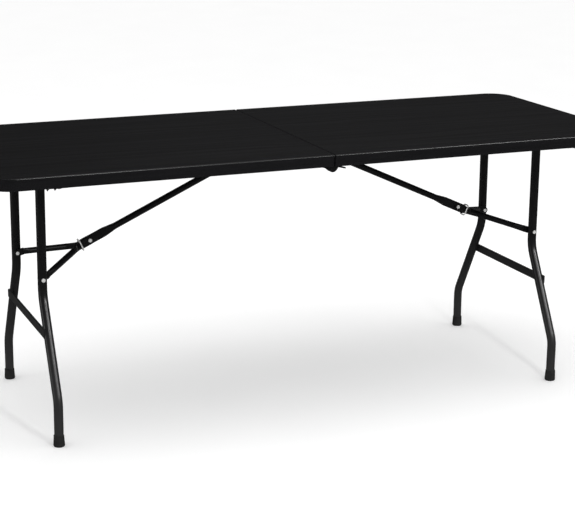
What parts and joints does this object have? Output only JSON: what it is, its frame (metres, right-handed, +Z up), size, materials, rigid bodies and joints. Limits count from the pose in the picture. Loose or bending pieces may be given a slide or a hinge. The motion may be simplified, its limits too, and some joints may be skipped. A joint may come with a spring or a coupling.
{
  "type": "folding table",
  "caption": "Rectangular plastic-topped table that folds in the middle, with two folding tubular leg frames held open by ring-locked braces.",
  "frame": {"origin": "on the floor, under the middle of the table", "axes": "+X along the table, +Y to the far long side, +Z up"},
  "size_m": [1.82, 0.74, 0.74],
  "materials": {
    "top_plastic": "embossed wood grain, satin",
    "black_steel": "semi-gloss powder coat",
    "boot_rubber": "dull moulded",
    "zinc_steel": "bright zinc plate",
    "nylon": "plain moulded",
    "handle_plastic": "plain moulded"
  },
  "bodies": {
    "table_left": {"top_left": "top_plastic", "deck_screws_left": "zinc_steel", "brace_strap_left": "black_steel", "brace_clevis_left": "black_steel", "clevis_pin_left": "zinc_steel", "pivot_bushes_left": "nylon", "rail_left_front": "black_steel", "rail_left_rear": "black_steel", "pivot_bracket_left_front": "black_steel", "pivot_bracket_left_rear": "black_steel", "hinge_leaf_left_front": "black_steel", "hinge_leaf_left_rear": "black_steel", "hinge_pins": "black_steel", "handle_rod": "zinc_steel", "handle_clips": "handle_plastic"},
    "leg_frame_left": {"pivot_tube_left": "black_steel", "crossbar_left": "black_steel", "leg_rivets_left": "zinc_steel", "leg_tube_left_front": "black_steel", "leg_tube_left_rear": "black_steel", "foot_left_front": "boot_rubber", "foot_left_rear": "boot_rubber"},
    "upper_brace_left": {"upper_brace_left": "black_steel", "knuckle_rivet_left": "zinc_steel"},
    "brace_arms_left": {"brace_arm_left_front": "black_steel", "brace_arm_left_rear": "black_steel", "arm_rivets_left": "zinc_steel"},
    "lock_ring_left": {"lock_ring_left": "zinc_steel"},
    "table_right": {"top_right": "top_plastic", "deck_screws_right": "zinc_steel", "brace_strap_right": "black_steel", "brace_clevis_right": "black_steel", "clevis_pin_right": "zinc_steel", "pivot_bushes_right": "nylon", "rail_right_front": "black_steel", "rail_right_rear": "black_steel", "pivot_bracket_right_front": "black_steel", "pivot_bracket_right_rear": "black_steel", "hinge_leaf_right_front": "black_steel", "hinge_leaf_right_rear": "black_steel"},
    "leg_frame_right": {"pivot_tube_right": "black_steel", "crossbar_right": "black_steel", "leg_rivets_right": "zinc_steel", "leg_tube_right_front": "black_steel", "leg_tube_right_rear": "black_steel", "foot_right_front": "boot_rubber", "foot_right_rear": "boot_rubber"},
    "upper_brace_right": {"upper_brace_right": "black_steel", "knuckle_rivet_right": "zinc_steel"},
    "brace_arms_right": {"brace_arm_right_front": "black_steel", "brace_arm_right_rear": "black_steel", "arm_rivets_right": "zinc_steel"},
    "lock_ring_right": {"lock_ring_right": "zinc_steel"},
    "carry_handle": {"carry_handle": "handle_plastic"}
  },
  "joints": [
    {"name": "centre_fold", "type": "hinge", "parent": "table_left", "child": "table_right", "pos_m": [0, 0, 0.705], "axis": [0, 1, 0], "range_deg": [0, 90]},
    {"name": "leg_fold_left", "type": "hinge", "parent": "table_left", "child": "leg_frame_left", "pos_m": [-0.7345, 0, 0.7155], "axis": [0, -1, 0], "range_deg": [0, 90]},
    {"name": "brace_fold_left", "type": "hinge", "parent": "table_left", "child": "upper_brace_left", "pos_m": [-0.04, 0, 0.7135], "axis": [0, -1, 0], "range_deg": [-24.21, 0]},
    {"name": "knuckle_left", "type": "hinge", "parent": "upper_brace_left", "child": "brace_arms_left", "pos_m": [-0.5665, 0, 0.47443], "axis": [0, -1, 0], "range_deg": [0, 186.52]},
    {"name": "ring_slide_left", "type": "slide", "parent": "upper_brace_left", "child": "lock_ring_left", "axis": [0.9105, 0, 0.4134], "range_m": [0, 0.3001]},
    {"name": "leg_fold_right", "type": "hinge", "parent": "table_right", "child": "leg_frame_right", "pos_m": [0.7345, 0, 0.7155], "axis": [0, 1, 0], "range_deg": [0, 90]},
    {"name": "brace_fold_right", "type": "hinge", "parent": "table_right", "child": "upper_brace_right", "pos_m": [0.04, 0, 0.7135], "axis": [0, 1, 0], "range_deg": [-24.21, 0]},
    {"name": "knuckle_right", "type": "hinge", "parent": "upper_brace_right", "child": "brace_arms_right", "pos_m": [0.5665, 0, 0.47443], "axis": [0, 1, 0], "range_deg": [0, 186.52]},
    {"name": "ring_slide_right", "type": "slide", "parent": "upper_brace_right", "child": "lock_ring_right", "axis": [-0.9105, 0, 0.4134], "range_m": [0, 0.3001]},
    {"name": "handle_swing", "type": "hinge", "parent": "table_left", "child": "carry_handle", "pos_m": [-0.455, 0.3645, 0.7025], "axis": [1, 0, 0], "range_deg": [-85, 90]}
  ],
  "couplings": [
    {"joint": "brace_fold_left", "follows": "leg_fold_left", "ratio": -0.26895},
    {"joint": "knuckle_left", "follows": "leg_fold_left", "ratio": 2.0723},
    {"joint": "ring_slide_left", "follows": "leg_fold_left", "m_per_rad": 0.19099},
    {"joint": "brace_fold_right", "follows": "leg_fold_right", "ratio": -0.26895},
    {"joint": "knuckle_right", "follows": "leg_fold_right", "ratio": 2.0723},
    {"joint": "ring_slide_right", "follows": "leg_fold_right", "m_per_rad": 0.19099}
  ]
}
